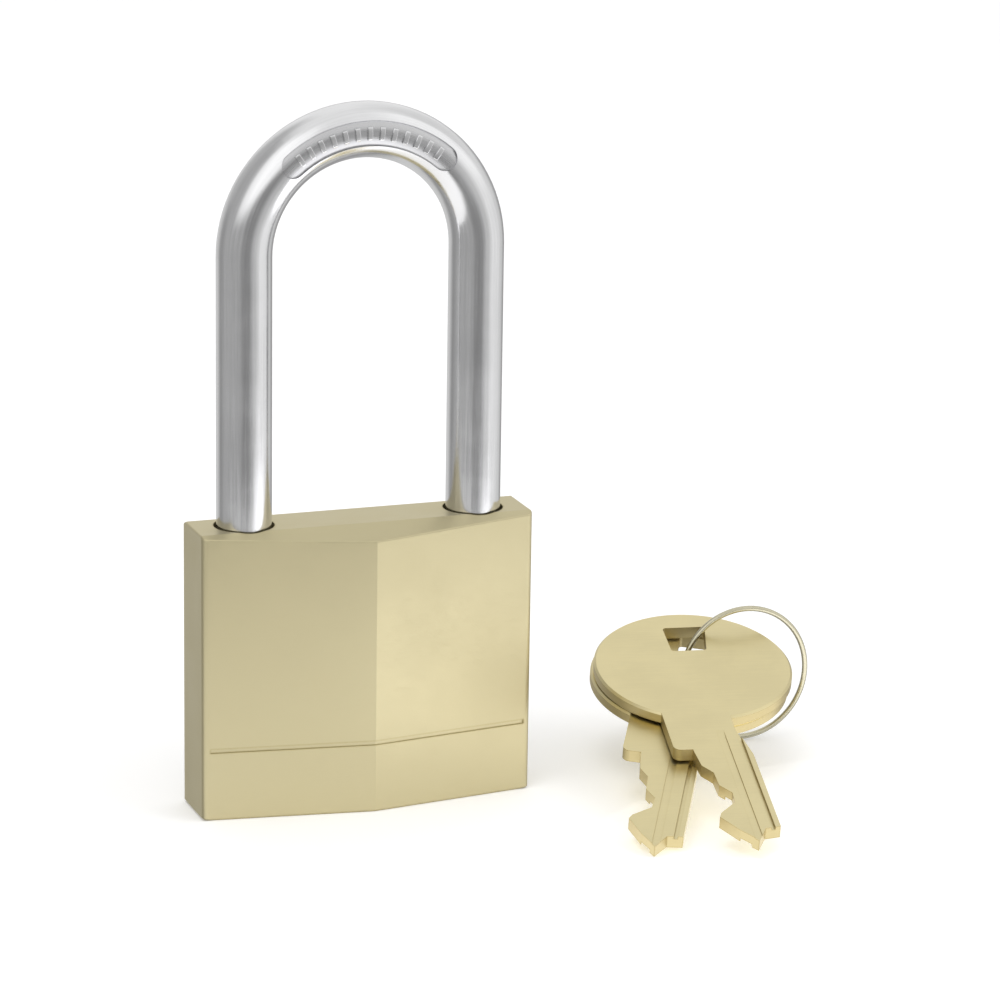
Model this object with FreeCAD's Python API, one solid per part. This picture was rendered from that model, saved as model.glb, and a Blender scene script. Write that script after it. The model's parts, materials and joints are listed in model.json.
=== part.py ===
import FreeCAD, Part
import math
import os

os.makedirs("parts", exist_ok=True)

V = FreeCAD.Vector

# ---- case, mm ----
CASE_W = 39.7
CASE_H = 33.65
SIDE_T = 7.95
RIDGE_OUT = 2.7
FRONT_CORNER_R = 0.8
REAR_CORNER_R = 0.35
RIDGE_R = 0.35
BASE_EDGE = 0.2
TOP_FLAT_HALF = 3.2
TOP_SLOPE_DEG = 21.0
TOP_EDGE_R = 0.25
PANEL_GROOVE_Z = 8.3
PANEL_GROOVE_W = 0.5
PANEL_GROOVE_DEPTH = 0.14
PANEL_GROOVE_HALF = 19.0

# ---- shackle ----
WIRE_R = 3.175
LEG_X = 13.8
ARCH_Z = 64.75
TOE_END_Z = 21.5
HEEL_END_Z = 8.0
LEG_END_EDGE = 0.5
HEEL_FLANGE_T = 2.0
HEEL_GROOVE_T = 6.0
HEEL_GROOVE_R = 1.85
HEEL_FLAT_TOP_Z = 24.9
HEEL_FLAT_X = -15.65
ARCH_PANEL_HALF_DEG = 40.0
ARCH_PANEL_W = 2.9
ARCH_PANEL_DEPTH = 0.22

# ---- leg bores in the case ----
LEG_BORE_R = 3.25
MOUTH_R = 3.5
MOUTH_DEPTH = 2.5
TOE_BORE_Z = 21.0
HEEL_BORE_Z = 2.6

# ---- locking balls, their channel and the cam ----
BALL_R = 3.175
BALL_Z = 25.45
BALL_OPEN_X = 7.075
BALL_TRAVEL = 1.15
NOTCH_R = 3.3
CHANNEL_R = 3.25
CHANNEL_PLUG_X = 17.3
CAM_LONG = 4.9
CAM_SHORT = 3.75
CAM_Z0 = 20.0
CAM_Z1 = 29.4
TANG_W = 2.0
TANG_L = 6.0
TANG_H = 2.0
TANG_PLAY = 0.06

# ---- cylinder plug ----
PLUG_R = 5.0
PLUG_BORE_R = 5.05
PLUG_BORE_TOP = 29.6
PLUG_Z0 = 0.3
PLUG_Z1 = 19.85
PLUG_FACE_EDGE = 0.3
KEYWAY_W = 1.75
KEYWAY_Y0 = -4.1
KEYWAY_Y1 = 3.0
KEYWAY_TOP = 19.3
KEYWAY_WARD_W = 0.45
KEYWAY_WARD_H = 0.9
KEYWAY_WARD_Y = -0.3
PLUG_GROOVE_Z = 17.0
PLUG_GROOVE_T = 1.8
PLUG_GROOVE_R = 4.0

# ---- pins and small parts ----
# pin heights and lengths follow the cuts of the keys, with the key's shoulder on the base of the case
PIN_Z = [2.5, 6.3, 10.1, 13.9]
KEY_PIN_LEN = [2.25, 3.5, 4.7, 2.4]
PIN_R = 1.25
CHAMBER_R = 1.3
PIN_TIP = 0.6
KEY_PIN_OUT = 4.9
DRIVER_X0 = 5.12
DRIVER_X1 = 8.6
CHAMBER_CAP_X = 16.5
FACE_SINK = 0.03
FIT = 0.01
OVERRUN = 1.0
PIN_SPRING_R = 0.95
PIN_SPRING_WIRE = 0.14
PIN_SPRING_TURNS = 9
SHACKLE_SPRING_R = 2.6
SHACKLE_SPRING_WIRE = 0.32
SHACKLE_SPRING_TURNS = 5
SPRING_PLAY = 0.02
RETAINER_R = 1.0
RETAINER_X = -16.8
RETAINER_Z = 23.6
RETAINER_Y0 = -2.6
PLUG_PIN_R = 0.8
PLUG_PIN_X0 = 4.15

# ---- keys and ring ----
KEY_T = 1.5
KEY_GAP = 0.25
BOW_R = 11.83
BOW_V = -5.83
BOW_EDGE = 0.25
NECK_L = -5.8
NECK_V = -24.0
NECK_R = 0.9
BLADE_POINTS = [
    (2.2, -19.5), (3.2, -25.5), (3.2, -40.4), (1.4, -40.7), (0.25, -42.9), (-1.6, -40.7), (-3.3, -38.0),
    (-3.0, -37.2), (-1.0, -35.2), (-0.9, -33.2), (-2.1, -31.6), (-2.2, -29.0), (-3.3, -27.4), (-3.6, -24.4),
]
HOLE_POINTS = [(-2.1, 2.75), (3.1, 2.75), (2.3, -2.5), (-1.95, -2.5)]
HOLE_R = 0.4
MILL_SIDE_U = 2.35
MILL_SIDE_W = 0.45
MILL_SIDE_DEPTH = 0.35
MILL_MID_U = 0.3
MILL_MID_W = 0.9
MILL_MID_DEPTH = 0.12
MILL_REAR_U = -0.9
MILL_REAR_W = 1.1
MILL_REAR_DEPTH = 0.4
MILL_CUTTER_R = 14.0
MILL_TOP_V = -22.0
KEY_HEADING_DEG = 11.107
KEY_TILT_DEG = 14.706
FRONT_TWIST_DEG = 0.747
BACK_TWIST_DEG = -16.828
FRONT_HOLE = V(42.769, 4.998, 13.50)
BACK_SHIFT_U = 1.549
BACK_SHIFT_V = 0.405
RING_CENTRE = V(50.932, 5.532, 8.43)
RING_NORMAL = V(0.003, 1.0, -0.0034)
RING_R = 8.078
RING_WIRE_R = 0.33


def cylinder(radius, start, end):
    axis = end - start
    return Part.makeCylinder(radius, axis.Length, start, axis)


def box(x0, x1, y0, y1, z0, z1):
    return Part.makeBox(x1 - x0, y1 - y0, z1 - z0, V(x0, y0, z0))


def prism(points, z0, z1):
    corners = [V(x, y, z0) for x, y in points]
    outline = Part.makePolygon(corners + [corners[0]])
    return Part.Face(outline).extrude(V(0, 0, z1 - z0))


def save(name, shape):
    solid = shape.removeSplitter()
    if solid.ShapeType != "Solid":
        solid = solid.Solids[0]
    solid.exportStep("parts/" + name + ".step")


def case_outline(inset):
    half_w = CASE_W / 2 - inset
    side = SIDE_T / 2 - inset
    ridge = SIDE_T / 2 + RIDGE_OUT - inset
    return [(-half_w, -side), (0, -ridge), (half_w, -side), (half_w, side), (0, ridge), (-half_w, side)]


def upright_edges(shape, x, y):
    found = []
    for edge in shape.Edges:
        bounds = edge.BoundBox
        upright = bounds.XLength + bounds.YLength < FIT
        if upright and abs(abs(bounds.XMin) - x) < FIT and bounds.YMin * y > 0:
            found.append(edge)
    return found


def case_block():
    block = prism(case_outline(0), 0, CASE_H)
    half_w = CASE_W / 2
    block = block.makeFillet(FRONT_CORNER_R, upright_edges(block, half_w, -1))
    block = block.makeFillet(REAR_CORNER_R, upright_edges(block, half_w, 1))
    block = block.makeFillet(RIDGE_R, upright_edges(block, 0, -1) + upright_edges(block, 0, 1))
    foot = [e for e in block.Edges if e.BoundBox.ZMax < FIT]
    block = block.makeChamfer(BASE_EDGE, foot)
    drop = CASE_W * math.tan(math.radians(TOP_SLOPE_DEG))
    for side in (1, -1):
        near = side * TOP_FLAT_HALF
        far = side * (TOP_FLAT_HALF + CASE_W)
        corners = [V(-CASE_W, near, CASE_H), V(-CASE_W, far, CASE_H - drop), V(-CASE_W, far, CASE_H)]
        wedge = Part.Face(Part.makePolygon(corners + [corners[0]])).extrude(V(2 * CASE_W, 0, 0))
        block = block.cut(wedge)
    return block.makeFillet(TOP_EDGE_R, top_rim(block))


def top_rim(shape):
    high = [e for e in shape.Edges if e.BoundBox.ZMin > CASE_H - RIDGE_OUT]
    return [e for e in high if abs(abs(e.CenterOfMass.y) - TOP_FLAT_HALF) > FIT]


def panel_groove():
    z0 = PANEL_GROOVE_Z - PANEL_GROOVE_W / 2
    z1 = PANEL_GROOVE_Z + PANEL_GROOVE_W / 2
    band = prism(case_outline(-OVERRUN), z0, z1).cut(prism(case_outline(PANEL_GROOVE_DEPTH), z0, z1))
    return band.common(box(-PANEL_GROOVE_HALF, PANEL_GROOVE_HALF, -CASE_W, CASE_W, z0, z1))


def make_case():
    shape = case_block().cut(panel_groove())
    side_x = CASE_W / 2
    shape = shape.cut(cylinder(PLUG_BORE_R, V(0, 0, -OVERRUN), V(0, 0, PLUG_BORE_TOP)))
    shape = shape.cut(cylinder(LEG_BORE_R, V(LEG_X, 0, TOE_BORE_Z), V(LEG_X, 0, CASE_H + OVERRUN)))
    shape = shape.cut(cylinder(LEG_BORE_R, V(-LEG_X, 0, HEEL_BORE_Z), V(-LEG_X, 0, CASE_H + OVERRUN)))
    for x in (LEG_X, -LEG_X):
        shape = shape.cut(cylinder(MOUTH_R, V(x, 0, CASE_H - MOUTH_DEPTH), V(x, 0, CASE_H + OVERRUN)))
    shape = shape.cut(cylinder(CHANNEL_R, V(-LEG_X, 0, BALL_Z), V(side_x + OVERRUN, 0, BALL_Z)))
    for z in PIN_Z:
        shape = shape.cut(cylinder(CHAMBER_R, V(0, 0, z), V(side_x + OVERRUN, 0, z)))
    pin_hole_end = V(side_x + OVERRUN, 0, PLUG_GROOVE_Z)
    shape = shape.cut(cylinder(PLUG_PIN_R + FIT, V(0, 0, PLUG_GROOVE_Z), pin_hole_end))
    hole_start = V(RETAINER_X, RETAINER_Y0 - FIT, RETAINER_Z)
    return shape.cut(cylinder(RETAINER_R + FIT, hole_start, V(RETAINER_X, CASE_W, RETAINER_Z)))


def arch(radius):
    section = Part.Face(Part.Wire(Part.makeCircle(radius, V(LEG_X, 0, ARCH_Z), V(0, 0, 1))))
    return section.revolve(V(0, 0, ARCH_Z), V(0, -1, 0), 180)


def arch_panel():
    centre = V(0, 0, ARCH_Z)
    half = ARCH_PANEL_W / 2
    near = V(0, -2 * WIRE_R, ARCH_Z)
    depth = V(0, 2 * WIRE_R, 0)
    band = cylinder(LEG_X + half, near, near + depth).cut(cylinder(LEG_X - half, near, near + depth))
    reach = 2 * LEG_X
    turn = math.radians(ARCH_PANEL_HALF_DEG)
    corner_x = reach * math.sin(turn)
    corner_z = ARCH_Z + reach * math.cos(turn)
    sector_points = [near, V(corner_x, near.y, corner_z), V(-corner_x, near.y, corner_z)]
    sector = Part.Face(Part.makePolygon(sector_points + [near])).extrude(depth)
    panel = band.common(sector)
    for sign in (1, -1):
        end = V(sign * LEG_X * math.sin(turn), near.y, ARCH_Z + LEG_X * math.cos(turn))
        panel = panel.fuse(cylinder(half, end, end + depth))
    return panel.cut(arch(WIRE_R - ARCH_PANEL_DEPTH))


def leg(x, end_z):
    post = cylinder(WIRE_R, V(x, 0, end_z), V(x, 0, ARCH_Z))
    rim = [e for e in post.Edges if e.BoundBox.ZMax < end_z + FIT]
    return post.makeChamfer(LEG_END_EDGE, rim)


def make_shackle():
    shape = arch(WIRE_R).fuse([leg(LEG_X, TOE_END_Z), leg(-LEG_X, HEEL_END_Z)]).removeSplitter()
    shape = shape.cut(arch_panel())
    for sign in (1, -1):
        locked = V(sign * (BALL_OPEN_X + BALL_TRAVEL), 0, BALL_Z)
        shape = shape.cut(Part.makeSphere(NOTCH_R, locked))
    groove_z0 = HEEL_END_Z + HEEL_FLANGE_T
    groove_z1 = groove_z0 + HEEL_GROOVE_T
    low = V(-LEG_X, 0, groove_z0)
    high = V(-LEG_X, 0, groove_z1)
    shape = shape.cut(cylinder(2 * WIRE_R, low, high).cut(cylinder(HEEL_GROOVE_R, low, high)))
    outside = -LEG_X - 2 * WIRE_R
    return shape.cut(box(outside, HEEL_FLAT_X, -WIRE_R, WIRE_R, groove_z0, HEEL_FLAT_TOP_Z))


def make_plug():
    shape = cylinder(PLUG_R, V(0, 0, PLUG_Z0), V(0, 0, PLUG_Z1))
    rim = [e for e in shape.Edges if e.BoundBox.ZMax < PLUG_Z0 + FIT]
    shape = shape.makeChamfer(PLUG_FACE_EDGE, rim)
    shape = shape.fuse(box(-TANG_W / 2, TANG_W / 2, -TANG_L / 2, TANG_L / 2, PLUG_Z1, PLUG_Z1 + TANG_H))
    keyway = box(-KEYWAY_W / 2, KEYWAY_W / 2, KEYWAY_Y0, KEYWAY_Y1, PLUG_Z0, KEYWAY_TOP)
    ward_y1 = KEYWAY_WARD_Y + KEYWAY_WARD_H
    ward_x1 = -KEYWAY_W / 2 + KEYWAY_WARD_W
    ward = box(-KEYWAY_W / 2, ward_x1, KEYWAY_WARD_Y, ward_y1, PLUG_Z0, KEYWAY_TOP)
    shape = shape.cut(keyway.cut(ward))
    low = V(0, 0, PLUG_GROOVE_Z - PLUG_GROOVE_T / 2)
    high = V(0, 0, PLUG_GROOVE_Z + PLUG_GROOVE_T / 2)
    shape = shape.cut(cylinder(2 * PLUG_R, low, high).cut(cylinder(PLUG_GROOVE_R, low, high)))
    for z in PIN_Z:
        shape = shape.cut(cylinder(CHAMBER_R, V(0, 0, z), V(0, 2 * PLUG_R, z)))
    return shape


def make_cam():
    rim = Part.Ellipse(V(0, 0, CAM_Z0), CAM_LONG, CAM_SHORT).toShape()
    shape = Part.Face(Part.Wire(rim)).extrude(V(0, 0, CAM_Z1 - CAM_Z0))
    shape.rotate(V(0, 0, 0), V(0, 0, 1), 90)
    half_w = TANG_W / 2 + TANG_PLAY
    half_l = TANG_L / 2 + TANG_PLAY
    return shape.cut(box(-half_w, half_w, -half_l, half_l, CAM_Z0, PLUG_Z1 + TANG_H + TANG_PLAY))


def key_pin(z, length):
    tip = Part.makeCone(PIN_R - PIN_TIP, PIN_R, PIN_TIP, V(0, KEY_PIN_OUT - length, z), V(0, 1, 0))
    shank = cylinder(PIN_R, V(0, KEY_PIN_OUT - length + PIN_TIP, z), V(0, KEY_PIN_OUT, z))
    return tip.fuse(shank).common(cylinder(KEY_PIN_OUT, V(0, 0, 0), V(0, 0, CASE_H)))


def driver_pin(z):
    return cylinder(PIN_R, V(DRIVER_X0, 0, z), V(DRIVER_X1, 0, z))


def coil(radius, wire, turns, length):
    run = length - 2 * wire
    path = Part.makeHelix(run / turns, run, radius)
    section = Part.Wire(Part.makeCircle(wire, V(radius, 0, 0), V(0, 1, 0)))
    sweep = Part.Wire(path).makePipeShell([section], True, True)
    solid = Part.Solid(sweep) if sweep.ShapeType == "Shell" else sweep
    solid.translate(V(0, 0, wire))
    return solid


def pin_spring(z):
    length = CHAMBER_CAP_X - DRIVER_X1 - 2 * SPRING_PLAY
    solid = coil(PIN_SPRING_R, PIN_SPRING_WIRE, PIN_SPRING_TURNS, length)
    solid.rotate(V(0, 0, 0), V(0, 1, 0), 90)
    solid.translate(V(DRIVER_X1 + SPRING_PLAY, 0, z))
    return solid


def shackle_spring():
    length = HEEL_END_Z - HEEL_BORE_Z - 2 * SPRING_PLAY
    solid = coil(SHACKLE_SPRING_R, SHACKLE_SPRING_WIRE, SHACKLE_SPRING_TURNS, length)
    solid.translate(V(-LEG_X, 0, HEEL_BORE_Z + SPRING_PLAY))
    return solid


def retaining_pin():
    face_y = SIDE_T / 2 + RIDGE_OUT * (1 + RETAINER_X / (CASE_W / 2))
    pin_end = V(RETAINER_X, face_y - RETAINER_R * RIDGE_OUT / (CASE_W / 2) - FACE_SINK, RETAINER_Z)
    return cylinder(RETAINER_R, V(RETAINER_X, RETAINER_Y0, RETAINER_Z), pin_end)


def mill(u, width, depth, at_rear):
    # the groove runs out at the bow end along the round of the cutter
    half = width / 2
    end_v = BLADE_POINTS[4][1] - OVERRUN
    floor = MILL_CUTTER_R - depth
    axis = V(u - half, MILL_TOP_V, floor)
    round_end = cylinder(MILL_CUTTER_R, axis, axis + V(width, 0, 0))
    run = box(u - half, u + half, end_v, MILL_TOP_V, -depth, MILL_CUTTER_R)
    cutter = round_end.fuse(run)
    if at_rear:
        cutter = cutter.mirror(V(0, 0, -KEY_T / 2), V(0, 0, 1))
    return cutter


def flat_key():
    bow = cylinder(BOW_R, V(0, BOW_V, -KEY_T), V(0, BOW_V, 0))
    bow = bow.makeChamfer(BOW_EDGE, [e for e in bow.Edges if len(e.Vertexes) == 1])
    neck_r = BLADE_POINTS[0][0]
    neck_points = [(neck_r, BOW_V), (NECK_L, BOW_V), (NECK_L, NECK_V), (neck_r, NECK_V)]
    neck = prism(neck_points, -KEY_T, 0)
    corner = [e for e in neck.Edges if e.BoundBox.XMax < NECK_L + FIT and e.BoundBox.YMax < NECK_V + FIT]
    neck = neck.makeFillet(NECK_R, [e for e in corner if e.BoundBox.ZLength > FIT])
    blade_top = [(BLADE_POINTS[-1][0], BOW_V), (neck_r, BOW_V)]
    blade = prism(blade_top + BLADE_POINTS, -KEY_T, 0)
    shape = bow.fuse([neck, blade]).removeSplitter()
    hole = prism(HOLE_POINTS, -2 * KEY_T, KEY_T)
    hole = hole.makeFillet(HOLE_R, [e for e in hole.Edges if e.BoundBox.ZLength > KEY_T])
    shape = shape.cut(hole)
    shape = shape.cut(mill(MILL_SIDE_U, MILL_SIDE_W, MILL_SIDE_DEPTH, False))
    shape = shape.cut(mill(MILL_MID_U, MILL_MID_W, MILL_MID_DEPTH, False))
    return shape.cut(mill(MILL_REAR_U, MILL_REAR_W, MILL_REAR_DEPTH, True))


def plane_turn():
    heading = FreeCAD.Rotation(V(0, 0, 1), -KEY_HEADING_DEG)
    tilt = FreeCAD.Rotation(V(1, 0, 0), KEY_TILT_DEG)
    return heading.multiply(tilt)


def place_key(hole_centre, twist_deg):
    shape = flat_key()
    turn = plane_turn().multiply(FreeCAD.Rotation(V(0, 0, 1), twist_deg))
    shape.Placement = FreeCAD.Placement(hole_centre, turn)
    return shape


def back_hole():
    offset = V(BACK_SHIFT_U, BACK_SHIFT_V, -(KEY_T + KEY_GAP))
    return FRONT_HOLE + plane_turn().multVec(offset)


def key_ring():
    return Part.makeTorus(RING_R, RING_WIRE_R, RING_CENTRE, RING_NORMAL)


side_x = CASE_W / 2 - FACE_SINK
save("case", make_case())
save("shackle", make_shackle())
save("plug", make_plug())
save("cam", make_cam())
save("toe_ball", Part.makeSphere(BALL_R, V(BALL_OPEN_X, 0, BALL_Z)))
save("heel_ball", Part.makeSphere(BALL_R, V(-BALL_OPEN_X, 0, BALL_Z)))
save("shackle_spring", shackle_spring())
save("shackle_retaining_pin", retaining_pin())
plug_pin_start = V(PLUG_PIN_X0, 0, PLUG_GROOVE_Z)
save("plug_retaining_pin", cylinder(PLUG_PIN_R, plug_pin_start, V(side_x, 0, PLUG_GROOVE_Z)))
save("channel_plug", cylinder(CHANNEL_R - FIT, V(CHANNEL_PLUG_X, 0, BALL_Z), V(side_x, 0, BALL_Z)))
for number, height in enumerate(PIN_Z, 1):
    save("key_pin_%d" % number, key_pin(height, KEY_PIN_LEN[number - 1]))
    save("driver_pin_%d" % number, driver_pin(height))
    save("pin_spring_%d" % number, pin_spring(height))
    cap = cylinder(CHAMBER_R - FIT, V(CHAMBER_CAP_X, 0, height), V(side_x, 0, height))
    save("chamber_cap_%d" % number, cap)
save("key_front", place_key(FRONT_HOLE, FRONT_TWIST_DEG))
save("key_back", place_key(back_hole(), BACK_TWIST_DEG))
save("key_ring", key_ring())
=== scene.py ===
import json
import math

import bmesh
import bpy
from mathutils import Matrix, Vector


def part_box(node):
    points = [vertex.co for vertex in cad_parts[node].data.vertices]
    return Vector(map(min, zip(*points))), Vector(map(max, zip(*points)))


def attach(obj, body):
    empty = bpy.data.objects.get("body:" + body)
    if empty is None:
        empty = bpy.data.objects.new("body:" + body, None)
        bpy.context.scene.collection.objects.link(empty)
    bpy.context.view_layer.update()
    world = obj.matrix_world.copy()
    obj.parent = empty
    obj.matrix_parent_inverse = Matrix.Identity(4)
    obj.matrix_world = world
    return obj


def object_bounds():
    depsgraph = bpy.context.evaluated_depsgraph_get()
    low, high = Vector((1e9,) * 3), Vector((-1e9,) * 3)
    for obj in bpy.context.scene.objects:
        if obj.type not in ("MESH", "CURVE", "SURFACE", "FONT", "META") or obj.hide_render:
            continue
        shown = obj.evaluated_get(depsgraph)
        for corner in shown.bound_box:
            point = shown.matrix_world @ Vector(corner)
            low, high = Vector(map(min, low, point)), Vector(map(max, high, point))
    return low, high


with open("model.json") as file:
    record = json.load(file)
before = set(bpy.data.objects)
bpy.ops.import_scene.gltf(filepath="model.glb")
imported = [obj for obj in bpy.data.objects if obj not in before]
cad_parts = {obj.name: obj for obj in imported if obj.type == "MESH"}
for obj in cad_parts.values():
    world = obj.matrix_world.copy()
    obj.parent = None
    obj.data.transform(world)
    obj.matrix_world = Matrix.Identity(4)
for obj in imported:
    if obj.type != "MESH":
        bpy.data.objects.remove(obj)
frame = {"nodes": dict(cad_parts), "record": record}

cad_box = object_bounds()
MM = 0.001

# The camera stands left of the front and looks a little down.
CAMERA_PLACE = Vector((-155.4, -469.0, 168.8)) * MM
CAMERA_YAW = math.radians(20.2)
CAMERA_PITCH = math.radians(15.08)
CAMERA_ROLL = math.radians(0.89)
CAMERA_LENS = 160.7
SENSOR_W = 36.0

# Shackle dimensions, from its CAD box
shackle_low, shackle_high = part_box("shackle")
WIRE_R = (shackle_high[1] - shackle_low[1]) / 2
ARCH_R = (shackle_high[0] - shackle_low[0]) / 2 - WIRE_R
ARCH_Z = shackle_high[2] - ARCH_R - WIRE_R


# ---------- node helpers ----------
# Inputs and output of a colour Mix node, which has other sockets of the same names
MIX_FIRST = 6
MIX_SECOND = 7
MIX_RESULT = 2

EVEN = (1.0, 1.0, 1.0)
TONE_LOW = 0.36
TONE_HIGH = 0.64
WEAR_LOW = 0.86
WEAR_HIGH = 0.995
GRAIN = 5200.0
CASE_EDGE_R = 0.35 * MM
FINE_EDGE_R = 0.25 * MM


def grey(level):
    return (level, level, level, 1.0)


class Graph:
    """The shader nodes of one material."""

    def __init__(self, material):
        material.use_nodes = True
        self.tree = material.node_tree
        self.shader = self.tree.nodes.get("Principled BSDF")

    def node(self, kind, **settings):
        made = self.tree.nodes.new(kind)
        for key, value in settings.items():
            setattr(made, key, value)
        return made

    def link(self, source, target):
        self.tree.links.new(source, target)

    def feed(self, value, socket):
        if isinstance(value, (int, float, tuple)):
            socket.default_value = value
        else:
            self.link(value, socket)

    def math(self, operation, a, b=0.0, clamp=False):
        made = self.node("ShaderNodeMath", operation=operation, use_clamp=clamp)
        self.feed(a, made.inputs[0])
        self.feed(b, made.inputs[1])
        return made.outputs[0]

    def span(self, value, low, high, out_low, out_high):
        made = self.node("ShaderNodeMapRange", interpolation_type="SMOOTHSTEP")
        self.feed(value, made.inputs["Value"])
        for name, number in zip(("From Min", "From Max", "To Min", "To Max"), (low, high, out_low, out_high)):
            made.inputs[name].default_value = number
        return made.outputs["Result"]

    def noise(self, vector, scale, detail=4.0, roughness=0.55):
        made = self.node("ShaderNodeTexNoise")
        made.inputs["Scale"].default_value = scale
        made.inputs["Detail"].default_value = detail
        made.inputs["Roughness"].default_value = roughness
        self.link(vector, made.inputs["Vector"])
        return made.outputs["Fac"]

    def mix(self, factor, first, second):
        made = self.node("ShaderNodeMix", data_type="RGBA")
        self.feed(factor, made.inputs["Factor"])
        self.feed(first, made.inputs[MIX_FIRST])
        self.feed(second, made.inputs[MIX_SECOND])
        return made.outputs[MIX_RESULT]

    def stretched(self, scale):
        place = self.node("ShaderNodeTexCoord").outputs["Object"]
        made = self.node("ShaderNodeMapping")
        made.inputs["Scale"].default_value = scale
        self.link(place, made.inputs["Vector"])
        return made.outputs["Vector"]

    def along_axes(self, first, second, third, stretch):
        """Object coordinates measured along three axes and stretched."""
        place = self.node("ShaderNodeTexCoord").outputs["Object"]
        joined = self.node("ShaderNodeCombineXYZ")
        for axis, factor, socket in zip((first, second, third), stretch, joined.inputs):
            dot = self.node("ShaderNodeVectorMath", operation="DOT_PRODUCT")
            self.link(place, dot.inputs[0])
            dot.inputs[1].default_value = axis
            self.link(self.math("MULTIPLY", dot.outputs["Value"], factor), socket)
        return joined.outputs[0]

    def facing(self, axis):
        """1 where the surface faces along the axis, 0 where it is side-on."""
        dot = self.node("ShaderNodeVectorMath", operation="DOT_PRODUCT")
        self.link(self.node("ShaderNodeTexCoord").outputs["Normal"], dot.inputs[0])
        dot.inputs[1].default_value = axis
        return self.math("ABSOLUTE", dot.outputs["Value"])

    def edge_mask(self, radius):
        """1 on edges, where a rounded normal leaves the flat one."""
        rounded = self.node("ShaderNodeBevel", samples=6)
        rounded.inputs["Radius"].default_value = radius
        flat = self.node("ShaderNodeNewGeometry")
        dot = self.node("ShaderNodeVectorMath", operation="DOT_PRODUCT")
        self.link(rounded.outputs["Normal"], dot.inputs[0])
        self.link(flat.outputs["Normal"], dot.inputs[1])
        return self.span(dot.outputs["Value"], WEAR_HIGH, WEAR_LOW, 1.0, 0.0)

    def bump(self, height, strength, distance, previous=None):
        made = self.node("ShaderNodeBump")
        made.inputs["Strength"].default_value = strength
        made.inputs["Distance"].default_value = distance
        self.link(height, made.inputs["Height"])
        if previous is not None:
            self.link(previous, made.inputs["Normal"])
        return made.outputs["Normal"]


def metal(name, dark, pale, worn, rough, brush, mottle=170.0, bump=0.22):
    """A metal whose brushing runs along the axis with the smallest number in brush."""
    material = bpy.data.materials.new(name)
    graph = Graph(material)
    shader = graph.shader
    shader.inputs["Metallic"].default_value = 1.0
    streaks = graph.noise(graph.stretched(brush), GRAIN, 5.0, 0.6)
    fine = graph.noise(graph.stretched(EVEN), 2600.0, 3.0)
    cloud = graph.noise(graph.stretched(EVEN), mottle, 3.0)
    tone = graph.math("ADD", graph.math("MULTIPLY", cloud, 0.6), graph.math("MULTIPLY", streaks, 0.4))
    body = graph.mix(graph.span(tone, TONE_LOW, TONE_HIGH, 0.0, 1.0), (*dark, 1.0), (*pale, 1.0))
    wear = graph.edge_mask(CASE_EDGE_R)
    graph.link(graph.mix(graph.math("MULTIPLY", wear, 0.55), body, (*worn, 1.0)), shader.inputs["Base Color"])
    patch = graph.math("ADD", graph.math("MULTIPLY", streaks, 0.5), graph.math("MULTIPLY", cloud, 0.5))
    rough_field = graph.span(patch, 0.36, 0.66, rough[0], rough[1])
    rough_field = graph.math("SUBTRACT", rough_field, graph.math("MULTIPLY", wear, 0.06), clamp=True)
    graph.link(rough_field, shader.inputs["Roughness"])
    coarse = graph.bump(streaks, bump, 0.04 * MM)
    graph.link(graph.bump(fine, bump * 0.4, 0.02 * MM, coarse), shader.inputs["Normal"])
    return material


SHACKLE_DARK = (0.70, 0.70, 0.71, 1.0)
SHACKLE_PALE = (0.82, 0.82, 0.83, 1.0)
# Painted shade: the dark colour laid into the sunk band of the arch
SHACKLE_SUNK_SHADE = (0.30, 0.30, 0.31, 1.0)
SHACKLE_WORN = (0.9, 0.9, 0.9, 1.0)
LINE_STRETCH = 0.02
# How far below the wire's surface the painted shade of the sunk band begins and is full
SUNK_START = 0.05 * MM
SUNK_FULL = 0.17 * MM


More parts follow.
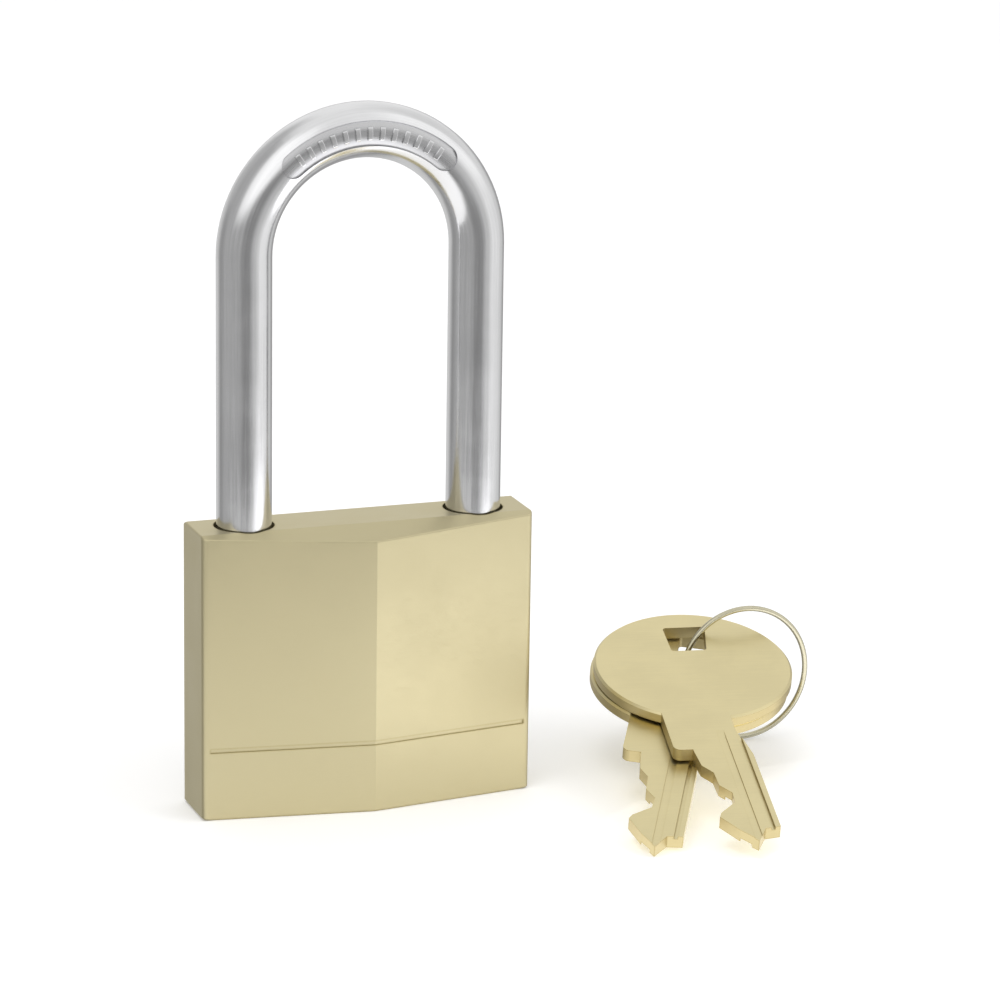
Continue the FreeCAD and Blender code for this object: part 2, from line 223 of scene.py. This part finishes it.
def shackle_metal():
    """Polished steel whose faint drawing lines follow the legs and the arch."""
    material = bpy.data.materials.new("shackle_polished")
    graph = Graph(material)
    shader = graph.shader
    shader.inputs["Metallic"].default_value = 1.0
    split = graph.node("ShaderNodeSeparateXYZ")
    graph.link(graph.node("ShaderNodeTexCoord").outputs["Object"], split.inputs[0])
    across = graph.math("ABSOLUTE", split.outputs["X"])
    rise = graph.math("MAXIMUM", graph.math("SUBTRACT", split.outputs["Z"], ARCH_Z), 0.0)
    square = graph.math("ADD", graph.math("MULTIPLY", across, across), graph.math("MULTIPLY", rise, rise))
    radial = graph.math("SUBTRACT", graph.math("SQRT", square), ARCH_R)
    bend = graph.math("MULTIPLY", graph.math("ARCTAN2", rise, across), ARCH_R)
    along = graph.math("ADD", graph.math("MINIMUM", split.outputs["Z"], ARCH_Z), bend)
    path = graph.node("ShaderNodeCombineXYZ")
    graph.link(radial, path.inputs["X"])
    graph.link(split.outputs["Y"], path.inputs["Y"])
    graph.link(graph.math("MULTIPLY", along, LINE_STRETCH), path.inputs["Z"])
    lines = graph.noise(path.outputs[0], 3600.0, 5.0, 0.6)
    cloud = graph.noise(graph.stretched(EVEN), 140.0, 4.0)
    specks = graph.noise(graph.stretched(EVEN), 3800.0, 2.0)
    tone = graph.math("ADD", graph.math("MULTIPLY", lines, 0.5), graph.math("MULTIPLY", cloud, 0.5))
    body = graph.mix(graph.span(tone, TONE_LOW, TONE_HIGH, 0.0, 1.0), SHACKLE_DARK, SHACKLE_PALE)
    spread = graph.math("MULTIPLY", split.outputs["Y"], split.outputs["Y"])
    from_axis = graph.math("SQRT", graph.math("ADD", graph.math("MULTIPLY", radial, radial), spread))
    # The sunk band is painted darker, as shade in the recess.
    sunk = graph.span(from_axis, WIRE_R - SUNK_FULL, WIRE_R - SUNK_START, 1.0, 0.0)
    body = graph.mix(graph.math("MULTIPLY", sunk, 0.7), body, SHACKLE_SUNK_SHADE)
    wear = graph.edge_mask(FINE_EDGE_R)
    graph.link(graph.mix(graph.math("MULTIPLY", wear, 0.4), body, SHACKLE_WORN), shader.inputs["Base Color"])
    polish = graph.span(tone, 0.34, 0.68, 0.12, 0.24)
    graph.link(graph.math("ADD", polish, graph.math("MULTIPLY", sunk, 0.12)), shader.inputs["Roughness"])
    coarse = graph.bump(lines, 0.10, 0.03 * MM)
    graph.link(graph.bump(specks, 0.06, 0.02 * MM, coarse), shader.inputs["Normal"])
    return material


KEY_DARK = (0.70, 0.605, 0.325, 1.0)
KEY_PALE = (0.78, 0.68, 0.375, 1.0)
# Painted shade: the darker colour of the keys' side faces and hole walls
KEY_SIDE_SHADE = (0.42, 0.335, 0.145, 1.0)
KEY_WORN = (0.84, 0.75, 0.47, 1.0)
KEY_STRETCH = (0.06, 1.0, 1.0)


def key_metal():
    """Milled brass with brushing across the bow and side faces painted darker as shade."""
    hinge = [j for j in frame["record"]["behaviour"]["joints"] if j["name"] == "key_front_swing"][0]
    through = Vector(hinge["axis"]).normalized()
    across = Vector((-through.y, through.x, 0.0)).normalized()
    down = through.cross(across)
    material = bpy.data.materials.new("key_brass_milled")
    graph = Graph(material)
    shader = graph.shader
    shader.inputs["Metallic"].default_value = 1.0
    streaks = graph.noise(graph.along_axes(across, down, through, KEY_STRETCH), 3200.0, 4.0, 0.6)
    cloud = graph.noise(graph.stretched(EVEN), 150.0, 3.0)
    tone = graph.math("ADD", graph.math("MULTIPLY", cloud, 0.7), graph.math("MULTIPLY", streaks, 0.3))
    face = graph.mix(graph.span(tone, TONE_LOW, TONE_HIGH, 0.0, 1.0), KEY_DARK, KEY_PALE)
    # Side faces of the keys, including the walls of their holes, get painted shade.
    side = graph.span(graph.facing(through), 0.25, 0.8, 1.0, 0.0)
    body = graph.mix(side, face, KEY_SIDE_SHADE)
    wear = graph.edge_mask(FINE_EDGE_R)
    graph.link(graph.mix(graph.math("MULTIPLY", wear, 0.3), body, KEY_WORN), shader.inputs["Base Color"])
    field = graph.span(tone, TONE_LOW, TONE_HIGH, 0.30, 0.38)
    graph.link(graph.math("ADD", field, graph.math("MULTIPLY", side, 0.12)), shader.inputs["Roughness"])
    graph.link(graph.bump(streaks, 0.05, 0.02 * MM), shader.inputs["Normal"])
    return material


case_brass = metal(
    "case_brass_satin", (0.515, 0.448, 0.248), (0.56, 0.49, 0.281), (0.70, 0.635, 0.42),
    (0.42, 0.54), (0.03, 1.0, 1.0), mottle=120.0, bump=0.14)
key_brass = key_metal()
plug_brass = metal(
    "plug_brass_turned", (0.52, 0.41, 0.20), (0.66, 0.54, 0.29), (0.82, 0.72, 0.46),
    (0.26, 0.42), (1.0, 1.0, 0.2), mottle=260.0)
pin_brass = metal(
    "pin_brass_turned", (0.50, 0.38, 0.17), (0.64, 0.51, 0.25), (0.80, 0.68, 0.40),
    (0.22, 0.36), (0.2, 1.0, 1.0), mottle=400.0)
hard_steel = metal(
    "hard_steel_ground", (0.46, 0.47, 0.49), (0.62, 0.63, 0.65), (0.80, 0.80, 0.82),
    (0.18, 0.34), (0.1, 1.0, 1.0), mottle=320.0)
ring_steel = metal(
    "ring_wire_drawn", (0.40, 0.37, 0.24), (0.55, 0.51, 0.35), (0.72, 0.68, 0.52),
    (0.24, 0.40), (0.3, 1.0, 0.3), mottle=420.0)
spring_steel = metal(
    "spring_wire_drawn", (0.34, 0.35, 0.37), (0.48, 0.49, 0.51), (0.66, 0.66, 0.68),
    (0.26, 0.42), (1.0, 0.3, 1.0), mottle=420.0)
shackle_steel = shackle_metal()

BY_SLOT = {
    "case_brass": case_brass,
    "shackle_steel": shackle_steel,
    "key_brass": key_brass,
    "ring_steel": ring_steel,
    "plug_brass": plug_brass,
    "pin_brass": pin_brass,
    "hard_steel": hard_steel,
    "spring_steel": spring_steel,
}
for part in frame["record"]["subparts"]:
    owner = frame["nodes"][part["node"]]
    owner.data.materials.clear()
    owner.data.materials.append(BY_SLOT[part["material_slot"]])

# ---------- raised bars in the sunk band of the arch ----------
BAR_COUNT = 13
BAR_SWEEP = math.radians(72.0)
BAR_W = 0.6 * MM
BAR_H = 1.55 * MM
BAR_TOP = WIRE_R - 0.03 * MM
BAR_FOOT = WIRE_R - 0.5 * MM
BAR_STEPS = 8
BAR_ROUNDING = 0.08 * MM


def arch_point(turn, sideways, radial, wire_r):
    """A point on the front of the arch, on a wire of the given radius."""
    depth = math.sqrt(wire_r ** 2 - radial ** 2)
    reach = ARCH_R + radial
    place = Vector((reach * math.sin(turn), -depth, ARCH_Z + reach * math.cos(turn)))
    return place + Vector((math.cos(turn), 0.0, -math.sin(turn))) * sideways


def arch_bars():
    mesh = bmesh.new()
    for number in range(BAR_COUNT):
        turn = (number / (BAR_COUNT - 1) - 0.5) * BAR_SWEEP
        rows = []
        for step in range(BAR_STEPS + 1):
            radial = (step / BAR_STEPS - 0.5) * BAR_H
            foot_left = arch_point(turn, -BAR_W / 2, radial, BAR_FOOT)
            top_left = arch_point(turn, -BAR_W / 2, radial, BAR_TOP)
            top_right = arch_point(turn, BAR_W / 2, radial, BAR_TOP)
            foot_right = arch_point(turn, BAR_W / 2, radial, BAR_FOOT)
            rows.append([mesh.verts.new(p) for p in (foot_left, top_left, top_right, foot_right)])
        for low, high in zip(rows, rows[1:]):
            for i in range(4):
                j = (i + 1) % 4
                mesh.faces.new((low[i], low[j], high[j], high[i]))
        mesh.faces.new(rows[0])
        mesh.faces.new(rows[-1][::-1])
    bmesh.ops.recalc_face_normals(mesh, faces=mesh.faces)
    data = bpy.data.meshes.new("arch_bars")
    mesh.to_mesh(data)
    mesh.free()
    made = bpy.data.objects.new("arch_bars", data)
    bpy.context.scene.collection.objects.link(made)
    rounding = made.modifiers.new("rounding", "BEVEL")
    rounding.width = BAR_ROUNDING
    rounding.segments = 2
    made.data.materials.append(shackle_steel)
    return made


bars = arch_bars()
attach(bars, "shackle")

# ---------- floor ----------
FLOOR_DARK = grey(0.965)
FLOOR_PALE = grey(0.98)
FLOOR_GLOW = 0.14
FLOOR_SEGMENTS = 128
FLOOR_Z = cad_box[0][2] - 0.02 * MM
NEAR_R = 0.11
NEAR_CUT_Y = -0.004
FAR_R = 4.0
LAYER_GAP = 0.1 * MM
CARD_R = 0.056
CARD_X = 0.060
CARD_Y = -0.060
CARD_COLOUR = (0.98, 0.98, 1.0, 1.0)
CARD_GLOW = 1.6

floor_material = bpy.data.materials.new("floor_pale")
floor_graph = Graph(floor_material)
floor_tone = floor_graph.noise(floor_graph.stretched(EVEN), 8.0, 3.0)
floor_colour = floor_graph.mix(floor_graph.span(floor_tone, 0.3, 0.7, 0.0, 1.0), FLOOR_DARK, FLOOR_PALE)
floor_graph.link(floor_colour, floor_graph.shader.inputs["Base Color"])
floor_graph.link(floor_graph.span(floor_tone, 0.3, 0.7, 0.7, 0.8), floor_graph.shader.inputs["Roughness"])
floor_graph.shader.inputs["Emission Color"].default_value = grey(1.0)
floor_graph.shader.inputs["Emission Strength"].default_value = FLOOR_GLOW


def disc(name, radius, height, back_cut=None):
    mesh = bmesh.new()
    bmesh.ops.create_circle(mesh, cap_ends=True, segments=FLOOR_SEGMENTS, radius=radius)
    if back_cut is not None:
        everything = mesh.verts[:] + mesh.edges[:] + mesh.faces[:]
        cut_at = (0, back_cut, 0)
        bmesh.ops.bisect_plane(mesh, geom=everything, plane_co=cut_at, plane_no=(0, 1, 0), clear_outer=True)
    data = bpy.data.meshes.new(name)
    mesh.to_mesh(data)
    mesh.free()
    made = bpy.data.objects.new(name, data)
    bpy.context.scene.collection.objects.link(made)
    made.location.z = height
    made.data.materials.append(floor_material)
    return made


# Reflections see only the near floor, in front of the lock.
disc("floor_near", NEAR_R, FLOOR_Z, back_cut=NEAR_CUT_Y)
far_floor = disc("floor_far", FAR_R, FLOOR_Z - LAYER_GAP)
far_floor.visible_glossy = False

# A card that only reflections see lifts the right front panel.
card = disc("right_card", CARD_R, FLOOR_Z + LAYER_GAP)
card.location.x = CARD_X
card.location.y = CARD_Y
card_material = bpy.data.materials.new("card_light")
card_graph = Graph(card_material)
card_graph.shader.inputs["Base Color"].default_value = grey(0.0)
card_graph.shader.inputs["Emission Color"].default_value = CARD_COLOUR
card_graph.shader.inputs["Emission Strength"].default_value = CARD_GLOW
card.data.materials.clear()
card.data.materials.append(card_material)
card.visible_camera = False
card.visible_diffuse = False
card.visible_shadow = False

# ---------- world: a grey studio, brighter on the right ----------
world = bpy.data.worlds.new("studio")
bpy.context.scene.world = world
world.use_nodes = True
tree = world.node_tree
background = tree.nodes["Background"]


def world_math(operation, a, b=0.0):
    made = tree.nodes.new("ShaderNodeMath")
    made.operation = operation
    for value, socket in zip((a, b), made.inputs):
        if isinstance(value, (int, float)):
            socket.default_value = value
        else:
            tree.links.new(value, socket)
    return made.outputs[0]


direction = tree.nodes.new("ShaderNodeSeparateXYZ")
tree.links.new(tree.nodes.new("ShaderNodeTexCoord").outputs["Generated"], direction.inputs[0])
bearing = world_math("ARCTAN2", direction.outputs["X"], world_math("MULTIPLY", direction.outputs["Y"], -1.0))
turned = world_math("ADD", world_math("DIVIDE", bearing, 2 * math.pi), 0.5)


def compass(levels):
    """Brightness by bearing."""
    made = tree.nodes.new("ShaderNodeValToRGB")
    made.color_ramp.interpolation = "EASE"
    elements = made.color_ramp.elements
    while len(elements) < len(levels):
        elements.new(0.5)
    for element, (degrees, level) in zip(elements, levels):
        element.position = degrees / 360.0 + 0.5
        element.color = grey(level)
    tree.links.new(turned, made.inputs["Fac"])
    return made.outputs["Color"]


def by_height(low, high, below, above):
    """One brightness below a height of the view direction, blended into another above it."""
    rise = tree.nodes.new("ShaderNodeMapRange")
    rise.interpolation_type = "SMOOTHSTEP"
    rise.inputs["From Min"].default_value = low
    rise.inputs["From Max"].default_value = high
    tree.links.new(direction.outputs["Z"], rise.inputs["Value"])
    made = tree.nodes.new("ShaderNodeMix")
    made.data_type = "RGBA"
    tree.links.new(rise.outputs["Result"], made.inputs["Factor"])
    for value, socket in ((below, made.inputs[MIX_FIRST]), (above, made.inputs[MIX_SECOND])):
        if isinstance(value, tuple):
            socket.default_value = value
        else:
            tree.links.new(value, socket)
    return made.outputs[MIX_RESULT]


# bearing in degrees from the front, towards the right: brightness
LOW_WALLS = [
    (-180, 0.70), (-156, 0.66), (-128, 0.32), (-98, 0.42), (-40, 0.40), (-14, 0.26),
    (4, 0.28), (26, 0.54), (56, 0.88), (80, 0.84), (104, 0.70), (136, 0.34), (180, 0.70),
]
UPPER_WALLS = [
    (-180, 0.90), (-150, 0.50), (-106, 0.42), (-84, 0.46), (-62, 1.05), (-44, 1.22), (-20, 1.15),
    (-2, 0.84), (30, 0.92), (56, 1.06), (76, 1.06), (98, 0.76), (126, 0.80), (160, 0.92), (180, 0.90),
]
ZENITH = grey(0.88)
HORIZON_RISE = (0.04, 0.30)
ZENITH_RISE = (0.78, 0.98)
walls = by_height(*HORIZON_RISE, compass(LOW_WALLS), compass(UPPER_WALLS))
tree.links.new(by_height(*ZENITH_RISE, walls, ZENITH), background.inputs["Color"])
background.inputs["Strength"].default_value = 1.0


def softbox(name, place, aim, size, power):
    data = bpy.data.lights.new(name, "AREA")
    data.shape = "DISK"
    data.size = size
    data.energy = power
    made = bpy.data.objects.new(name, data)
    bpy.context.scene.collection.objects.link(made)
    made.location = place
    made.rotation_euler = (Vector(aim) - Vector(place)).to_track_quat("-Z", "Y").to_euler()
    made.visible_glossy = False


CENTRE = (0.015, -0.005, 0.03)
softbox("overhead", (-0.25, -0.15, 0.9), CENTRE, 0.6, 1.6)
softbox("right_key", (0.55, -0.45, 0.45), CENTRE, 0.45, 0.8)

# ---------- camera ----------
ahead = Vector((
    math.sin(CAMERA_YAW) * math.cos(CAMERA_PITCH),
    math.cos(CAMERA_YAW) * math.cos(CAMERA_PITCH),
    -math.sin(CAMERA_PITCH)))
level_right = Vector((math.cos(CAMERA_YAW), -math.sin(CAMERA_YAW), 0.0))
level_up = level_right.cross(ahead)
right = math.cos(CAMERA_ROLL) * level_right + math.sin(CAMERA_ROLL) * level_up
up = math.cos(CAMERA_ROLL) * level_up - math.sin(CAMERA_ROLL) * level_right
camera_data = bpy.data.cameras.new("camera")
camera_data.sensor_width = SENSOR_W
camera_data.lens = CAMERA_LENS
camera_data.clip_start = 0.01
camera = bpy.data.objects.new("camera", camera_data)
bpy.context.scene.collection.objects.link(camera)
camera.matrix_world = Matrix.Translation(CAMERA_PLACE) @ Matrix((right, up, -ahead)).transposed().to_4x4()
bpy.context.scene.camera = camera
bpy.context.scene.view_settings.view_transform = "Standard"
